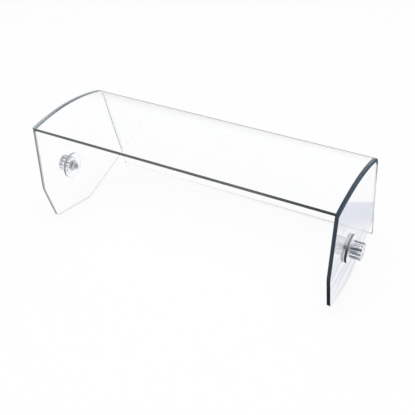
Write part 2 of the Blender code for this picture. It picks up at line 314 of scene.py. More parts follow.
class GuardFinishes(bpy.types.PropertyGroup):
    """Colours and surfaces of the guard."""

    sheet_clear: colour_property("Clear sheet", "Tint of the sheet seen square on", (0.998, 0.999, 1.0))
    sheet_cloud: colour_property("Sheet cloud", "Deeper tint that drifts over it", (0.990, 0.993, 0.998))
    canopy_grazing: colour_property("Canopy grazing", "Tint of the canopy seen along it", (0.28, 0.30, 0.36))
    # Painted reflection: the rear bend takes a darker grazing tint than the rest of the canopy, and painted
    # shade along its outline.
    bend_grazing_painted_reflection: colour_property("Bend grazing", "Tint of the rear bend seen along it", (0.12, 0.12, 0.15))
    bend_outline: colour_property("Bend outline", "Tone of the rear bend's outline", (0.30, 0.30, 0.33))
    # Painted reflection: on the end panels this tint lies in a band and streaks.
    panel_grazing: colour_property("Panel grazing", "Tint of an end panel seen along it", (0.28, 0.34, 0.54))
    # Painted reflection: the tones of edges and rims below paint the clear edges dark where they show the
    # dark room.
    front_dark: colour_property("Front, dark", "Dark tone of the front edge", (0.072, 0.079, 0.089))
    front_light: colour_property("Front, light", "Light tone of the front edge", (0.160, 0.168, 0.180))
    # Painted shade: the right end of the front edge is painted darker.
    front_right_painted_shade: colour_property("Front, right", "Tone of the front edge's right end", (0.036, 0.042, 0.050))
    # Lit and shaded copies: the left arch end is painted lighter and the right arch end darker, as painted
    # light and shade.
    left_end_dark: colour_property("Left arch, dark", "Dark tone of the left joint", (0.062, 0.102, 0.126))
    left_end_light: colour_property("Left arch, light", "Light tone of the left joint", (0.12, 0.185, 0.220))
    # Painted light: the front of the left joint is painted lighter.
    left_end_front_painted_light: colour_property("Left arch, front", "Tone of the left joint's front", (0.50, 0.60, 0.64))
    right_end_dark: colour_property("Right arch, dark", "Dark tone of its end", (0.048, 0.080, 0.110))
    right_end_light: colour_property("Right arch, light", "Light tone of its end", (0.098, 0.145, 0.188))
    joint_dark: colour_property("Right joint, dark", "Dark tone under the arch", (0.0, 0.022, 0.052))
    joint_light: colour_property("Right joint, light", "Light tone under the arch", (0.004, 0.042, 0.085))
    # Lit and shaded copies: the left panel's edges are painted lighter than the right panel's, as painted
    # light and shade.
    left_edge_dark: colour_property("Left panel, dark", "Dark tone of its edges", (0.22, 0.235, 0.245))
    left_edge_light: colour_property("Left panel, light", "Light tone of its edges", (0.36, 0.375, 0.385))
    # Painted highlight: the inner half of the left panel's edges is painted light.
    left_edge_inner_painted_light: colour_property("Left panel, inner", "Inner part of its edges", (0.85, 0.86, 0.87))
    right_edge_dark: colour_property("Right panel, dark", "Dark tone of its edges", (0.032, 0.042, 0.056))
    right_edge_light: colour_property("Right panel, light", "Light tone of its edges", (0.058, 0.080, 0.100))
    # Painted shade: the right panel's edges are painted darker towards the bottom.
    right_edge_foot_painted_shade: colour_property("Right panel, foot", "Tone of its low edges", (0.020, 0.024, 0.032))
    wall_edge_dark: colour_property("Wall end, dark", "Dark tone of the wall's ends", (0.13, 0.13, 0.14))
    wall_edge_light: colour_property("Wall end, light", "Light tone of the wall's ends", (0.28, 0.28, 0.30))
    # Painted light: the wall's ends are painted white higher up.
    wall_edge_high_painted_light: colour_property("Wall end, high", "Tone of the wall's ends higher up", (1.0, 1.0, 1.0))
    nose_dark: colour_property("Nose, dark", "Dark tone of the wall's bottom edge", (0.010, 0.010, 0.012))
    nose_light: colour_property("Nose, light", "Light tone of the wall's bottom edge", (0.030, 0.030, 0.034))
    # Painted light: the wall's bottom edge is painted lighter towards its far left end.
    nose_far_painted_light: colour_property("Nose, far", "Tone of the bottom edge's far end", (0.90, 0.90, 0.91))
    moulding_clear: colour_property("Moulding", "Tint of knobs and discs square on", (0.970, 0.975, 0.985))
    moulding_grazing: colour_property("Moulding grazing", "Tint of their outlines", (0.032, 0.044, 0.062))
    # Painted light: the left knob's flutes take a lighter copy of the right knob's grazing tint.
    left_knob_lit_grazing: colour_property("Left knob grazing", "Tint of the left knob's flutes", (0.14, 0.145, 0.17))
    # Lit and shaded copies: the left disc's rim is painted lighter than the right disc's, as painted light
    # and shade.
    rim_dark: colour_property("Right rim, dark", "Dark tone of the right disc", (0.015, 0.018, 0.024))
    rim_light: colour_property("Right rim, light", "Light tone of the right disc", (0.10, 0.105, 0.115))
    left_rim_dark: colour_property("Left rim, dark", "Dark tone of the left disc", (0.16, 0.16, 0.18))
    left_rim_light: colour_property("Left rim, light", "Light tone of the left disc", (0.38, 0.38, 0.41))
    # Painted light: the top of a disc's rim is painted lighter.
    rim_top_painted_light: colour_property("Disc rim, top", "Tone of the top of a disc's rim", (0.34, 0.35, 0.38))
    nylon_tone: colour_property("Nylon", "Natural nylon", (0.84, 0.84, 0.84))
    nylon_shade: colour_property("Nylon shade", "Slightly yellowed nylon", (0.76, 0.76, 0.75))
    steel_tone: colour_property("Steel", "Bright stainless steel", (0.62, 0.63, 0.66))
    steel_shade: colour_property("Steel shade", "Duller stainless steel", (0.45, 0.46, 0.49))
    panel_inner: share_property("Panel edge inside", "How much of a panel's edge shows from inside", 0.35)
    canopy_inner: share_property("Canopy edge inside", "How much of its edge shows from inside", 0.35)
    rim_inner: share_property("Rim inside", "How much of a disc's rim shows from inside", 0.20)
    joint_inner: share_property("Joint inside", "How much of a bonded edge shows from inside", 0.62)
    wall_inner: share_property("Wall end inside", "How much of the wall's ends shows from inside", 0.60)
    nose_inner: share_property("Nose inside", "How much of the bottom edge shows from inside", 0.30)


class GuardStage(bpy.types.PropertyGroup):
    """Floor, light and camera."""

    camera_place: place_property("Camera place", "Where the camera stands", (0.45330, -0.88478, 0.76231))
    camera_turn: bpy.props.FloatVectorProperty(
        name="Camera turn",
        description="How the camera is turned",
        default=(QUARTER_TURN - CAMERA_DIP, 0.0, CAMERA_SWING),
        subtype="EULER",
    )
    lens: bpy.props.FloatProperty(
        name="Lens", description="Focal length on a 36 mm sensor, in mm", default=59.422
    )
    floor_size: length_property("Floor", "Side of the floor", 12.0)
    floor_colour: colour_property("Floor colour", "Pale floor", (1.0, 1.0, 1.0))
    floor_glow: share_property("Floor glow", "Share of the floor's brightness that has no shadow", 0.84)
    room_light: share_property("Room light", "Brightness of the room for matt surfaces", 0.80)
    room_dark: colour_property("Room, dark", "Unlit room above and behind the camera", (0.05, 0.06, 0.08))
    lamp_power: bpy.props.FloatProperty(
        name="Lamp", description="Power of the lamp", default=14.0, unit="POWER"
    )
    lamp_size: length_property("Lamp size", "Side of the soft lamp", 2.5)
    lamp_place: place_property("Lamp place", "Where the soft lamp hangs", (0.4, -0.5, 2.2))


# Selecting and shaping a mesh


def only(thing):
    """Leave one object selected and active."""
    bpy.ops.object.select_all(action="DESELECT")
    thing.select_set(True)
    bpy.context.view_layer.objects.active = thing


def edit(thing):
    """Go into edit mode on one object."""
    only(thing)
    bpy.ops.object.mode_set(mode="EDIT")


def leave_edit():
    """Go back to object mode."""
    bpy.ops.object.mode_set(mode="OBJECT")


def pick_all():
    """In edit mode, select the whole mesh."""
    bpy.ops.mesh.select_all(action="SELECT")


def pick(thing, mode, wanted):
    """In edit mode, select the vertices, edges or faces that pass a test."""
    bpy.ops.mesh.select_mode(type=mode)
    build = bmesh.from_edit_mesh(thing.data)
    elements = {"VERT": build.verts, "EDGE": build.edges, "FACE": build.faces}
    for element in elements[mode]:
        element.select_set(wanted(element))
    build.select_flush_mode()
    bmesh.update_edit_mesh(thing.data)


def pick_vertices(thing, wanted):
    """In edit mode, select the vertices whose place passes a test."""
    pick(thing, "VERT", lambda vertex: wanted(thing.matrix_world @ vertex.co))


def pick_faces(thing, wanted):
    """In edit mode, select the faces whose normal passes a test."""
    pick(thing, "FACE", lambda face: wanted(face.normal))


def keep_lengthwise_edges(thing, least):
    """In edit mode, keep selected only the edges that reach far enough along X."""

    def is_kept(edge):
        start, end = edge.verts
        return edge.select and abs(start.co.x - end.co.x) > least

    pick(thing, "EDGE", is_kept)


def extrude(step):
    """In edit mode, extrude what is selected."""
    bpy.ops.mesh.extrude_region_move(TRANSFORM_OT_translate={"value": step})


def draw_in(scale, axis):
    """In edit mode, draw what is selected towards an axis along X."""
    bpy.ops.transform.resize(value=(1.0, scale, scale), center_override=axis)


def face_outwards():
    """In edit mode, turn every face outwards."""
    pick_all()
    bpy.ops.mesh.normals_make_consistent(inside=False)


def settle(thing):
    """Put an object's place into its mesh."""
    only(thing)
    bpy.ops.object.transform_apply(location=True, rotation=True, scale=True)


def apply_modifier(thing, kind, **settings):
    """Add a modifier and apply it."""
    only(thing)
    modifier = thing.modifiers.new(kind.lower(), kind)
    for name, value in settings.items():
        setattr(modifier, name, value)
    bpy.ops.object.modifier_apply(modifier=modifier.name)


def cut_away(thing, cutter):
    """Cut one object with another, which is then removed."""
    apply_modifier(thing, "BOOLEAN", operation="DIFFERENCE", object=cutter, solver="EXACT")
    only(cutter)
    bpy.ops.object.delete()
    only(thing)


def break_edges(thing, width, segments=EDGE_STEPS):
    """Round the sharp edges of a piece."""
    apply_modifier(
        thing, "BEVEL", width=width, segments=segments, limit_method="ANGLE", angle_limit=SHARP_ANGLE
    )


def smooth_sheet(thing):
    """Shade a piece smooth along its curves and leave its flat faces truly flat."""
    only(thing)
    bpy.ops.object.shade_smooth_by_angle(angle=CURVE_ANGLE)


def smooth_moulding(thing):
    """Shade a moulding smooth over its rounded edges, with its large faces kept flat."""
    only(thing)
    bpy.ops.object.shade_smooth_by_angle(angle=ROUNDED_ANGLE)
    apply_modifier(thing, "WEIGHTED_NORMAL", keep_sharp=True, weight=FACE_WEIGHT)


# Making, copying and seating a piece


def name_piece(thing, name):
    """Name an object and its mesh."""
    thing.name = name
    thing.data.name = name


def x_cylinder(name, start, end, radius, axis, steps):
    """A closed cylinder along X on the knob axis."""
    bpy.ops.object.select_all(action="DESELECT")
    bpy.ops.mesh.primitive_cylinder_add(
        vertices=steps,
        radius=radius,
        depth=abs(end - start),
        location=((start + end) / 2, axis.y, axis.z),
        rotation=(0.0, QUARTER_TURN, 0.0),
    )
    thing = bpy.context.object
    name_piece(thing, name)
    settle(thing)
    return thing


def twin_piece(thing, name):
    """A copy with its own mesh, selected and in the same place."""
    only(thing)
    bpy.ops.object.duplicate()
    twin = bpy.context.object
    name_piece(twin, name)
    return twin


def moved_piece(thing, name, shift):
    """A copy with its own mesh, moved along X."""
    twin = twin_piece(thing, name)
    bpy.ops.transform.translate(value=(shift, 0.0, 0.0))
    settle(twin)
    return twin


def mirrored_piece(thing, name):
    """A copy with its own mesh, mirrored across the guard's middle."""
    twin = twin_piece(thing, name)
    twin.scale = MIRRORED_ALONG_X
    settle(twin)
    edit(twin)
    face_outwards()
    leave_edit()
    return twin


def rounded_copy(node_name, piece_name, width, material):
    """A copy of a node's shape with its own mesh, its triangles joined and its edges rounded."""
    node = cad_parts[node_name]
    thing = bpy.data.objects.new(piece_name, node.data.copy())
    name_piece(thing, piece_name)
    bpy.context.scene.collection.objects.link(thing)
    thing.matrix_world = node.matrix_world
    settle(thing)
    edit(thing)
    pick_all()
    bpy.ops.mesh.remove_doubles(threshold=MERGE_REACH)
    bpy.ops.mesh.tris_convert_to_quads(face_threshold=FLAT_ANGLE, shape_threshold=HALF_TURN)
    leave_edit()
    break_edges(thing, width)
    paint(thing, material)
    smooth_moulding(thing)
    return thing


def paint(thing, *materials):
    """Give a piece its materials."""
    thing.data.materials.clear()
    for material in materials:
        thing.data.materials.append(material)


def seat(thing, body, slot, *nodes):
    """Fix a piece to its body, in place of the nodes that it stands for."""
    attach(thing, body)
    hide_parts(*nodes)


def seat_pair(right, left, body, slot, node):
    """Fix a piece and its twin to the bodies of their sides, in place of their nodes."""
    for side, thing in (("right_", right), ("left_", left)):
        seat(thing, body if body == "guard" else side + body, slot, side + node)


def rounded_pair(node, piece, body, width, material, slot):
    """A rounded copy of a right-hand node's shape and its mirrored twin, both seated."""
    right = rounded_copy("right_" + node, "right_" + piece, width, material)
    seat_pair(right, mirrored_piece(right, "left_" + piece), body, slot, node)


# Outlines of the sheets


def outward(angle):
    """Unit direction in (y, z), turned from straight up towards the rear."""
    return Vector((math.sin(angle), math.cos(angle)))


class CanopyProfile:
    """Arch, rear bend and rear wall along the middle of the canopy sheet, as points (y, z)."""

    def __init__(self, sizes):
        canopy_low, canopy_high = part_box("canopy")
        panel_low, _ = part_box("left_end_panel")
        rise = sizes.arch_radius * (1 - math.cos(sizes.arch_start))
        self.front = Vector((panel_low.y, canopy_high.z - sizes.sheet / 2 - rise))
        self.half_length = canopy_high.x
        self.arch_centre = self.front - sizes.arch_radius * outward(-sizes.arch_start)
        corner_y = self.front.x + sizes.top_depth
        corner_reach = corner_y - self.arch_centre.x
        corner_z = self.arch_centre.y + math.sqrt(sizes.arch_radius**2 - corner_reach**2)
        self.wall_angle = QUARTER_TURN - sizes.wall_lean
        self.wall_down = Vector((math.sin(sizes.wall_lean), -math.cos(sizes.wall_lean)))
        inward_point = Vector((corner_y, corner_z)) - sizes.bend_radius * outward(self.wall_angle)
        across = inward_point - self.arch_centre
        along = across.dot(self.wall_down)
        reach = sizes.arch_radius - sizes.bend_radius
        slide = -along - math.sqrt(along**2 - across.length_squared + reach**2)
        self.bend_centre = inward_point + slide * self.wall_down
        to_bend = self.bend_centre - self.arch_centre
        self.bend_angle = math.atan2(to_bend.x, to_bend.y)
        self.bend_start = self.bend_centre.x + sizes.bend_radius * math.sin(self.bend_angle)
        self.wall_top = self.bend_centre + sizes.bend_radius * outward(self.wall_angle)
        self.bottom = canopy_low.z + sizes.sheet / 2 * math.sin(sizes.wall_lean)
        self.forwards = -Vector((math.cos(sizes.arch_start), math.sin(sizes.arch_start)))

    def wall_lies(self, normal):
        """How nearly a normal is that of the rear wall's faces."""
        return abs(outward(self.wall_angle).dot(Vector((normal.y, normal.z))))

    def faces_front(self, normal):
        """How nearly a normal is that of the front edge."""
        return self.forwards.dot(Vector((normal.y, normal.z)))

    def wall_point(self, height, offset):
        """Point of the rear wall at a height, offset outwards from the middle of the sheet."""
        top = self.wall_top + offset * outward(self.wall_angle)
        return top - self.wall_down * ((top.y - height) / self.wall_down.y)


class Pen:
    """Draws an outline across X from one vertex, by extruding and spinning its end."""

    def __init__(self, name, x, start):
        bpy.ops.object.select_all(action="DESELECT")
        bpy.ops.mesh.primitive_plane_add(size=START_SIZE, location=(x, start.x, start.y))
        self.thing = bpy.context.object
        name_piece(self.thing, name)
        self.here = start
        bpy.ops.object.mode_set(mode="EDIT")
        bpy.ops.mesh.select_mode(type="VERT")
        pick_all()
        bpy.ops.mesh.merge(type="CENTER")

    def line(self, end):
        """Draw straight to a point."""
        step = end - self.here
        extrude((0.0, step.x, step.y))
        self.here = end

    def arc(self, centre, angle, steps):
        """Draw round a centre, from the top towards the rear."""
        bpy.ops.mesh.spin(steps=steps, angle=angle, center=(0.0, centre.x, centre.y), axis=ALONG_X)
        turned = Matrix.Rotation(-angle, 2)
        self.here = centre + turned @ (self.here - centre)

    def rounded(self, corner, after, radius, steps):
        """Draw up to a corner and round it towards the point after it."""
        back = (self.here - corner).normalized()
        ahead = (after - corner).normalized()
        half = back.angle(ahead) / 2
        self.line(corner + back * (radius / math.tan(half)))
        centre = corner + (back + ahead).normalized() * (radius / math.sin(half))
        self.arc(centre, HALF_TURN - 2 * half, steps)

    def close(self):
        """Fill the outline."""
        pick_all()
        bpy.ops.mesh.edge_face_add()


def joint_start(name):
    """Where the canopy's joint with an end panel starts."""
    low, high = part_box(name + "_end_panel")
    return high.x - JOINT_TRIM if name == "left" else low.x


def knob_axis(name):
    """Middle of a side's disc, which the knob turns about."""
    low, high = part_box(name + "_disc")
    return (low + high) / 2


def round_node(name):
    """Corners of a round node's box, and its radius about the knob axis."""
    low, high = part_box(name)
    return low, high, (high.y - low.y) / 2


# Materials


def opaque(tone):
    """A tone with full alpha."""
    return (*tone, 1.0)


def drift_group():
    """Slow drift between two tones and two roughnesses, with a fine height, as a node group."""
    name = "surface_drift"
    if name in bpy.data.node_groups:
        return bpy.data.node_groups[name]
    inputs = {
        "Place": "NodeSocketVector",
        "Scale": "NodeSocketFloat",
        "Fine Scale": "NodeSocketFloat",
        "First Tone": "NodeSocketColor",
        "Second Tone": "NodeSocketColor",
        "Least Roughness": "NodeSocketFloat",
        "Most Roughness": "NodeSocketFloat",
    }
    outputs = {"Tone": "NodeSocketColor", "Roughness": "NodeSocketFloat", "Height": "NodeSocketFloat"}
    group = bpy.data.node_groups.new(name, "ShaderNodeTree")
    for socket, kind in inputs.items():
        group.interface.new_socket(socket, in_out="INPUT", socket_type=kind)
    for socket, kind in outputs.items():
        group.interface.new_socket(socket, in_out="OUTPUT", socket_type=kind)
    drift = Shading(group)
    start = drift.node("NodeGroupInput").outputs
    end = drift.node("NodeGroupOutput").inputs
    slow = drift.node("ShaderNodeTexNoise", Detail=SLOW_DETAIL)
    fine = drift.node("ShaderNodeTexNoise", Detail=FINE_DETAIL)
    spread = drift.node("ShaderNodeMapRange")
    mix = drift.node("ShaderNodeMix")
    mix.data_type = "RGBA"
    drift.link(start["Place"], slow.inputs["Vector"])
    drift.link(start["Scale"], slow.inputs["Scale"])
    drift.link(start["Place"], fine.inputs["Vector"])
    drift.link(start["Fine Scale"], fine.inputs["Scale"])
    drift.link(slow.outputs["Fac"], mix.inputs["Factor"])
    drift.link(start["First Tone"], mix.inputs["A"])
    drift.link(start["Second Tone"], mix.inputs["B"])
    drift.link(fine.outputs["Fac"], spread.inputs["Value"])
    drift.link(start["Least Roughness"], spread.inputs["To Min"])
    drift.link(start["Most Roughness"], spread.inputs["To Max"])
    drift.link(mix.outputs["Result"], end["Tone"])
    drift.link(spread.outputs["Result"], end["Roughness"])
    drift.link(fine.outputs["Fac"], end["Height"])
    return group


def set_inputs(node, values):
    """Set a node's inputs by name."""
    for name, value in values.items():
        node.inputs[name].default_value = value


class Shading:
    """A node tree, with ways to join values and shaders in it."""

    def __init__(self, tree):
        self.nodes = tree.nodes
        self.link = tree.links.new

    def node(self, kind, **values):
        """A new node, with values for its inputs."""
        node = self.nodes.new(kind)
        set_inputs(node, values)
        return node

    def joined(self, operation, first, second):
        """Two values joined by a product or the like."""
        node = self.node("ShaderNodeMath")
        node.operation = operation
        self.link(first, node.inputs[0])
        self.link(second, node.inputs[1])
        return node.outputs["Value"]

    def spread(self, value, span, limits=NONE_TO_ALL):
        """Map a value's span smoothly to limits."""
        mapped = self.node("ShaderNodeMapRange")
        mapped.interpolation_type = "SMOOTHSTEP"
        bounds = zip(("From Min", "From Max", "To Min", "To Max"), (*span, *limits))
        set_inputs(mapped, dict(bounds))
        self.link(value, mapped.inputs["Value"])
        return mapped.outputs["Result"]

    def mixed(self, share, first, second):
        """Two shaders mixed by a share."""
        node = self.node("ShaderNodeMixShader")
        self.link(share, node.inputs["Fac"])
        self.link(first, node.inputs[1])
        self.link(second, node.inputs[2])
        return node.outputs["Shader"]

    def tone_mix(self, share, tone):
        """A mix of a first tone, still to be set, with another by a share."""
        mix = self.node("ShaderNodeMix")
        mix.data_type = "RGBA"
        mix.inputs["B"].default_value = opaque(tone)
        self.link(share, mix.inputs["Factor"])
        return mix

    def vector_math(self, operation, vector, value=None):
        """A vector operation on a vector, with a value where it takes one."""
        node = self.node("ShaderNodeVectorMath")
        node.operation = operation
        self.link(vector, node.inputs[0])
        if value is not None:
            node.inputs[1].default_value = value
        return node.outputs


class Finish(Shading):
    """A material whose tone and roughness drift over the surface."""

    def __init__(self, name, tones, surface):
        material = bpy.data.materials.new(name)
        material.use_nodes = True
        super().__init__(material.node_tree)
        self.shader = self.nodes["Principled BSDF"]
        self.surface = self.shader.outputs["BSDF"]
        self.end = self.nodes["Material Output"]
        self.place = self.node("ShaderNodeTexCoord").outputs["Object"]
        drift = self.node("ShaderNodeGroup")
        drift.node_tree = drift_group()
        values = {
            "Scale": surface.scale,
            "Fine Scale": surface.fine,
            "First Tone": opaque(tones[0]),
            "Second Tone": opaque(tones[1]),
            "Least Roughness": surface.smooth,
            "Most Roughness": surface.rough,
        }
        set_inputs(drift, values)
        self.link(self.place, drift.inputs["Place"])
        relief = self.node("ShaderNodeBump", Strength=surface.relief, Distance=surface.depth)
        self.link(drift.outputs["Height"], relief.inputs["Height"])
        self.tone = drift.outputs["Tone"]
        self.link(self.tone, self.shader.inputs["Base Color"])
        self.link(drift.outputs["Roughness"], self.shader.inputs["Roughness"])
        self.link(relief.outputs["Normal"], self.shader.inputs["Normal"])

    def make_clear(self, grazing, depth, mirror_loss):
        """Let light through, with a deeper tone by a mask, a pale shadow and fainter mirror images."""
        set_inputs(self.shader, {"Transmission Weight": ALL_SHOWN, "IOR": PLASTIC_IOR})
        self.blend_tone(depth, grazing)
        self.let_through(self.unseen(mirror_loss), CLEAR_SHADOW)

    def make_edge(self, inner_share, gloss, fades):
        """Show as a dark edge of painted reflection from outside, faintly from inside the sheet, and with
        its fades of painted light and shade.
        """
        set_inputs(self.shader, {"Specular IOR Level": gloss})
        for fade in fades:
            self.blend_tone(self.spread(self.along(fade.direction), fade.span), fade.tone)
        inside = self.node("ShaderNodeNewGeometry").outputs["Backfacing"]
        self.let_through(self.spread(inside, NONE_TO_ALL, (0.0, 1.0 - inner_share)), NO_TINT)

    def outline(self, tone):
        """Shade the outline, where the surface is seen nearly along it, in a matt tone."""
        self.cover(self.facing(OUTLINE_SPAN, OUTLINE_SHARE), "ShaderNodeBsdfDiffuse", tone)

    def let_through(self, share, colour):
        """Mix the surface with plain see-through by a share."""
        self.cover(share, "ShaderNodeBsdfTransparent", colour)

    def cover(self, share, kind, colour):
        """Mix the surface with a shader of another kind by a share."""
        shader = self.node(kind, Color=opaque(colour))
        self.surface = self.mixed(share, self.surface, shader.outputs["BSDF"])
        self.link(self.surface, self.end.inputs["Surface"])

    def blend_tone(self, share, tone):
        """Mix the base colour with another tone by a share."""
        mix = self.tone_mix(share, tone)
        self.link(self.tone, mix.inputs["A"])
        self.tone = mix.outputs["Result"]
        self.link(self.tone, self.shader.inputs["Base Color"])

    def unseen(self, mirror_loss):
        """Share that shadows and mirror images leave out."""
        path = self.node("ShaderNodeLightPath").outputs
        mirrored = self.joined("SUBTRACT", path["Is Glossy Ray"], path["Is Transmission Ray"])
        faded = self.spread(mirrored, NONE_TO_ALL, (0.0, mirror_loss))
        return self.joined("MAXIMUM", path["Is Shadow Ray"], faded)

    def facing(self, span, most=ALL_SHOWN):
        """From none to most over a span of Facing, which is nothing square on and all along the surface."""
        weight = self.node("ShaderNodeLayerWeight", Blend=EVEN_BLEND)
        return self.spread(weight.outputs["Facing"], span, (0.0, most))

    def streaks(self, scale):
        """Soft streaks from a noise that is stretched along the axes of low scale."""
        mapping = self.node("ShaderNodeMapping", Scale=scale)
        noise = self.node("ShaderNodeTexNoise", Scale=PLAIN_SCALE, Detail=STREAK_DETAIL)
        self.link(self.place, mapping.inputs["Vector"])
        self.link(mapping.outputs["Vector"], noise.inputs["Vector"])
        return noise.outputs["Fac"]

    def radius(self, axis):
        """Distance from an axis along X."""
        moved = self.vector_math("SUBTRACT", self.place, axis)["Vector"]
        flat = self.vector_math("MULTIPLY", moved, ACROSS_X)["Vector"]
        return self.vector_math("LENGTH", flat)["Value"]

    def along(self, direction):
        """Distance along a direction."""
        return self.vector_math("DOT_PRODUCT", self.place, direction)["Value"]


def material_once(name, make):
    """A material by name, made the first time it is asked for."""
    if name not in bpy.data.materials:
        make(name)
    return bpy.data.materials[name]


def clear_sheet(name, grazing, span, shade=None, outline=None):
    """Polished clear sheet, whose grazing tint may be shaded over it by painted reflection and whose outline
    may have a tone.
    """
    look = bpy.context.scene.guard_finishes

    def make(material_name):
        finish = Finish(material_name, (look.sheet_clear, look.sheet_cloud), POLISHED_SHEET)
        depth = finish.facing(span)
        if shade:
            depth = finish.joined("MULTIPLY", depth, shade(finish))
        finish.make_clear(grazing, depth, NO_LOSS)
        if outline:
            finish.outline(outline)

    return material_once(name, make)


def panel_painted_reflection(finish):
    """Painted reflection in the grazing tint of an end panel: a deep band that slopes to the rear, and
    streaks below it.
    """
    slope = finish.along(REAR_SLOPE)
    under = finish.spread(slope, BAND_TOP, (1.0, SHADE_OVER_BAND))
    band = finish.spread(slope, BAND_FOOT)
    streaks = finish.spread(finish.streaks(STREAK_SCALE), STREAK_SPAN, STREAK_SHADE)
    return finish.joined("MULTIPLY", under, finish.joined("MAXIMUM", band, streaks))


def sheet_edge(name, tone, inner_share, fades=(), gloss=NO_GLOSS):
    """Sawn and polished edge of the clear sheet, between the dark and light of one of the tones, whose
    darkness is painted reflection of the dark room.
    """
    look = bpy.context.scene.guard_finishes
    tones = (getattr(look, tone + "_dark"), getattr(look, tone + "_light"))

    def make(material_name):
        Finish(material_name, tones, SAWN_EDGE).make_edge(inner_share, gloss, fades)

    return material_once(name, make)


def clear_moulding(name, grazing, span, grooves=None):
    """Clear moulded plastic, dark where it is seen along the surface and, for flutes, with painted shade in
    its grooves that streaks make uneven.
    """
    look = bpy.context.scene.guard_finishes

    def make(material_name):
        finish = Finish(material_name, (look.moulding_clear, look.sheet_clear), MOULDED)
        depth = finish.facing(span)
        if grooves:
            axis, radii = grooves
            # Painted shade in the grooves, deepest at their bottoms and made uneven by streaks along the
            # flutes
            deep = finish.spread(finish.radius(axis), radii, ALL_TO_NONE)
            shade = finish.spread(finish.streaks(FLUTE_SCALE), FLUTE_SPAN, FLUTE_SHADE)
            depth = finish.joined("MULTIPLY", finish.joined("MAXIMUM", depth, deep), shade)
        finish.make_clear(grazing, depth, MIRROR_LOSS)

    return material_once(name, make)


def paint_moulding(thing, axis, radius, outer):
    """Flat ends and bores of a moulding stay clear, and its outside has a finish of its own."""
    grazing = bpy.context.scene.guard_finishes.moulding_grazing
    flat = clear_moulding("moulding_flat", grazing, FLAT_SPAN)
    bore = clear_moulding("moulding_bore", grazing, BORE_SPAN)
    paint(thing, flat, bore, outer)
    for face in thing.data.polygons:
        out = Vector((face.center.y - axis.y, face.center.z - axis.z)).length
        if abs(face.normal.x) > FACE_LEAN:
            face.material_index = MouldingFace.FLAT
        elif out > radius * OUTSIDE_SHARE:
            face.material_index = MouldingFace.OUTSIDE
        else:
            face.material_index = MouldingFace.BORE


def natural_nylon():
    """Slightly mottled natural nylon."""
    look = bpy.context.scene.guard_finishes
    tones = (look.nylon_tone, look.nylon_shade)
    return material_once("natural_nylon", lambda name: Finish(name, tones, MOTTLED))


def turned_steel():
    """Bright turned stainless steel."""
    look = bpy.context.scene.guard_finishes

    def make(name):
        finish = Finish(name, (look.steel_tone, look.steel_shade), TURNED)
        set_inputs(finish.shader, {"Metallic": ALL_SHOWN})

    return material_once("turned_steel", make)


# Pieces


